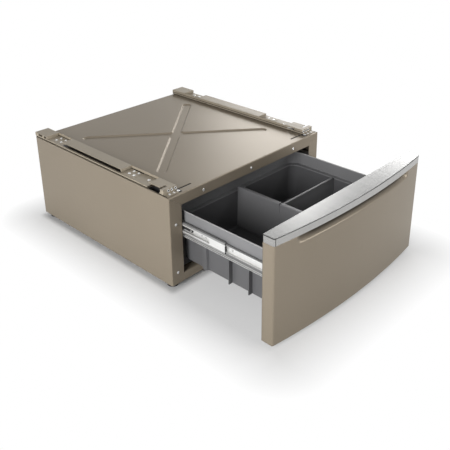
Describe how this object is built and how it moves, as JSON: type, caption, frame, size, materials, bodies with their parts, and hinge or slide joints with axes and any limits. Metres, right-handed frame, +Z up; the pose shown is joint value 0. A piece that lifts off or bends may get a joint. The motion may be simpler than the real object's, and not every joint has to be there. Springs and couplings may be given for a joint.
{
  "type": "laundry pedestal",
  "caption": "Steel base with a pull-out storage drawer that a front-loading washer or dryer stands on.",
  "frame": {"origin": "on the floor, below the middle of the whole pedestal with its drawer open", "axes": "+X to the right seen from the front, +Y to the back, +Z up; the drawer opens towards -Y"},
  "size_m": [0.686, 1.098, 0.333],
  "materials": {
    "taupe_paint": "satin metallic",
    "zinc_steel": "galvanised, satin",
    "slide_steel": "zinc plated, satin",
    "bright_steel": "bright",
    "black_plastic": "matt",
    "grey_plastic": "satin, fine grain",
    "silver_cap": "satin silver"
  },
  "bodies": {
    "cabinet": {"side_panel_left": "taupe_paint", "side_panel_right": "taupe_paint", "top_panel": "taupe_paint", "sill_rail": "taupe_paint", "mounting_rail_left": "taupe_paint", "mounting_rail_right": "taupe_paint", "rear_panel": "zinc_steel", "header_rail": "zinc_steel", "base_rail_left": "zinc_steel", "base_rail_right": "zinc_steel", "slide_carrier_left": "zinc_steel", "slide_carrier_right": "zinc_steel", "slide_cabinet_member_left": "slide_steel", "slide_cabinet_member_right": "slide_steel"},
    "drawer": {"drawer_tub": "grey_plastic", "divider_long": "grey_plastic", "divider_cross": "grey_plastic", "drawer_front_panel": "taupe_paint", "drawer_front_liner": "zinc_steel", "cap_fascia": "silver_cap", "cap_end_left": "silver_cap", "cap_end_right": "silver_cap", "cap_top": "silver_cap", "drawer_bracket_left": "zinc_steel", "drawer_bracket_right": "zinc_steel", "slide_drawer_member_left": "slide_steel", "slide_drawer_member_right": "slide_steel"},
    "slide_middle_left": {"slide_middle_member_left": "slide_steel"},
    "outer_cage_left": {"slide_outer_cage_left": "slide_steel"},
    "inner_cage_left": {"slide_inner_cage_left": "slide_steel"},
    "release_lever_left": {"release_lever_left": "black_plastic"},
    "slide_middle_right": {"slide_middle_member_right": "slide_steel"},
    "outer_cage_right": {"slide_outer_cage_right": "slide_steel"},
    "inner_cage_right": {"slide_inner_cage_right": "slide_steel"},
    "release_lever_right": {"release_lever_right": "black_plastic"},
    "foot_front_left": {"foot_front_left": "black_plastic", "foot_front_left_stud": "bright_steel"},
    "foot_front_right": {"foot_front_right": "black_plastic", "foot_front_right_stud": "bright_steel"},
    "foot_rear_left": {"foot_rear_left": "black_plastic", "foot_rear_left_stud": "bright_steel"},
    "foot_rear_right": {"foot_rear_right": "black_plastic", "foot_rear_right_stud": "bright_steel"}
  },
  "joints": [
    {"name": "drawer_travel", "type": "slide", "parent": "cabinet", "child": "drawer", "axis": [0, -1, 0], "range_m": [-0.3445, 0]},
    {"name": "slide_middle_left_travel", "type": "slide", "parent": "cabinet", "child": "slide_middle_left", "axis": [0, -1, 0], "range_m": [-0.17225, 0]},
    {"name": "outer_cage_left_travel", "type": "slide", "parent": "cabinet", "child": "outer_cage_left", "axis": [0, -1, 0], "range_m": [-0.08612, 0]},
    {"name": "inner_cage_left_travel", "type": "slide", "parent": "cabinet", "child": "inner_cage_left", "axis": [0, -1, 0], "range_m": [-0.25838, 0]},
    {"name": "release_lever_left_tilt", "type": "hinge", "parent": "drawer", "child": "release_lever_left", "pos_m": [-0.2851, -0.171, 0.1925], "axis": [1, 0, 0], "range_deg": [-8, 0], "stiffness_Nm_per_rad": 0.02, "springref_deg": 8.59},
    {"name": "slide_middle_right_travel", "type": "slide", "parent": "cabinet", "child": "slide_middle_right", "axis": [0, -1, 0], "range_m": [-0.17225, 0]},
    {"name": "outer_cage_right_travel", "type": "slide", "parent": "cabinet", "child": "outer_cage_right", "axis": [0, -1, 0], "range_m": [-0.08612, 0]},
    {"name": "inner_cage_right_travel", "type": "slide", "parent": "cabinet", "child": "inner_cage_right", "axis": [0, -1, 0], "range_m": [-0.25838, 0]},
    {"name": "release_lever_right_tilt", "type": "hinge", "parent": "drawer", "child": "release_lever_right", "pos_m": [0.2851, -0.171, 0.1925], "axis": [1, 0, 0], "range_deg": [-8, 0], "stiffness_Nm_per_rad": 0.02, "springref_deg": 8.59},
    {"name": "foot_front_left_travel", "type": "slide", "parent": "cabinet", "child": "foot_front_left", "axis": [0, 0, -1], "range_m": [0, 0.018]},
    {"name": "foot_front_right_travel", "type": "slide", "parent": "cabinet", "child": "foot_front_right", "axis": [0, 0, -1], "range_m": [0, 0.018]},
    {"name": "foot_rear_left_travel", "type": "slide", "parent": "cabinet", "child": "foot_rear_left", "axis": [0, 0, -1], "range_m": [0, 0.018]},
    {"name": "foot_rear_right_travel", "type": "slide", "parent": "cabinet", "child": "foot_rear_right", "axis": [0, 0, -1], "range_m": [0, 0.018]}
  ],
  "couplings": [
    {"joint": "slide_middle_left_travel", "follows": "drawer_travel", "ratio": 0.5},
    {"joint": "outer_cage_left_travel", "follows": "drawer_travel", "ratio": 0.25},
    {"joint": "inner_cage_left_travel", "follows": "drawer_travel", "ratio": 0.75},
    {"joint": "slide_middle_right_travel", "follows": "drawer_travel", "ratio": 0.5},
    {"joint": "outer_cage_right_travel", "follows": "drawer_travel", "ratio": 0.25},
    {"joint": "inner_cage_right_travel", "follows": "drawer_travel", "ratio": 0.75}
  ]
}
